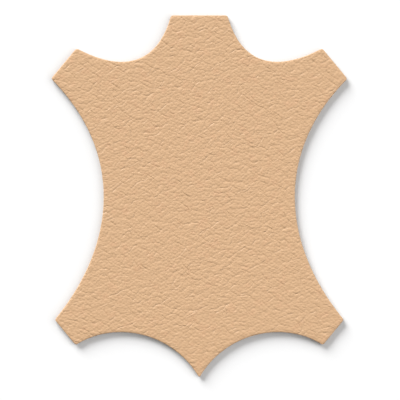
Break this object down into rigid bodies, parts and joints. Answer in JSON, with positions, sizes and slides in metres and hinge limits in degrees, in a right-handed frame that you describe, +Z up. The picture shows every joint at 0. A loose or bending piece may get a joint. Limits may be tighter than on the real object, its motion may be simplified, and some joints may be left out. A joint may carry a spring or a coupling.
{
  "type": "piece of leather",
  "caption": "Flat die-cut sheet of pebbled leather with the outline of a small hide: a neck tab, leg tabs and a pointed tail.",
  "frame": {"origin": "middle of the length and width, on the underside of the sheet", "axes": "+Z up through the sheet to the grain side, +Y from the tail to the neck along the spine line, +X to the right as seen from above"},
  "size_m": [0.0816, 0.1, 0.0016],
  "materials": {
    "leather": "matt pebbled grain on the face, cut fibres at the edge, napped flesh side underneath"
  },
  "bodies": {
    "root": {"leather_sheet": "leather"}
  },
  "joints": []
}
